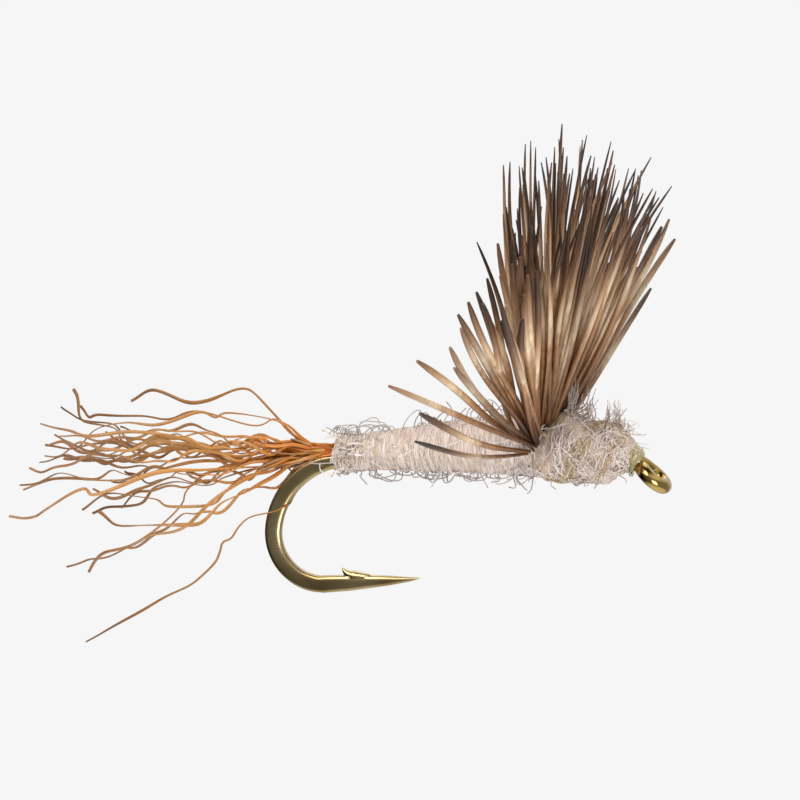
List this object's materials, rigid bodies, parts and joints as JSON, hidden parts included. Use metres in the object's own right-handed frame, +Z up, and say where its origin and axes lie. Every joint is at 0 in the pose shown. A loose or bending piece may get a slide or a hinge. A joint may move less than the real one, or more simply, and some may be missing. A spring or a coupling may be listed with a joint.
{
  "type": "dry fly",
  "caption": "Artificial fly on a forged barbed hook with a turned-down ring eye: crinkled trailing tail, dubbed body and an upright fan wing of deer hair, tied with thread",
  "frame": {"origin": "centre of the hook's eye ring", "axes": "+X forward along the shank towards the eye, +Z up on the side of the wing, +Y to the fly's left; the hook's bend lies in the XZ plane"},
  "size_m": [0.0188, 0.0127, 0.0145],
  "materials": {
    "bronzed_steel": "bronze lacquer, glossy",
    "thread": "waxed pale olive tying thread, varnished at the head",
    "dubbing": "matt pinkish cream fur, spun and wound",
    "tail_fibre": "translucent amber, flat crinkled strands",
    "deer_hair": "natural brown hair with a pale band and dark tips, satin"
  },
  "bodies": {
    "root": {"hook": "bronzed_steel", "thread_base_layer": "thread", "tail_thread_wraps": "thread", "wing_thread_wraps": "thread", "wing_thread_dam": "thread", "head_thread_wraps": "thread", "abdomen_dubbing": "dubbing", "thorax_dubbing": "dubbing", "tail_fibre_01": "tail_fibre", "tail_fibre_02": "tail_fibre", "tail_fibre_03": "tail_fibre", "tail_fibre_04": "tail_fibre", "tail_fibre_05": "tail_fibre", "tail_fibre_06": "tail_fibre", "tail_fibre_07": "tail_fibre", "tail_fibre_08": "tail_fibre", "tail_fibre_09": "tail_fibre", "tail_fibre_10": "tail_fibre", "tail_fibre_11": "tail_fibre", "tail_fibre_12": "tail_fibre", "tail_fibre_13": "tail_fibre", "tail_fibre_14": "tail_fibre", "tail_fibre_15": "tail_fibre", "tail_fibre_16": "tail_fibre", "tail_fibre_17": "tail_fibre", "tail_fibre_18": "tail_fibre", "tail_fibre_19": "tail_fibre", "tail_fibre_20": "tail_fibre", "stray_tail_fibre": "tail_fibre", "wing_hair_01": "deer_hair", "wing_hair_02": "deer_hair", "wing_hair_03": "deer_hair", "wing_hair_04": "deer_hair", "wing_hair_05": "deer_hair", "wing_hair_06": "deer_hair", "wing_hair_07": "deer_hair", "wing_hair_08": "deer_hair", "wing_hair_09": "deer_hair", "wing_hair_10": "deer_hair", "wing_hair_11": "deer_hair", "wing_hair_12": "deer_hair", "wing_hair_13": "deer_hair", "wing_hair_14": "deer_hair", "wing_hair_15": "deer_hair", "wing_hair_16": "deer_hair", "wing_hair_17": "deer_hair", "wing_hair_18": "deer_hair", "wing_hair_19": "deer_hair", "wing_hair_20": "deer_hair", "wing_hair_21": "deer_hair", "wing_hair_22": "deer_hair", "wing_hair_23": "deer_hair", "wing_hair_24": "deer_hair", "wing_hair_25": "deer_hair", "wing_hair_26": "deer_hair"}
  },
  "joints": []
}
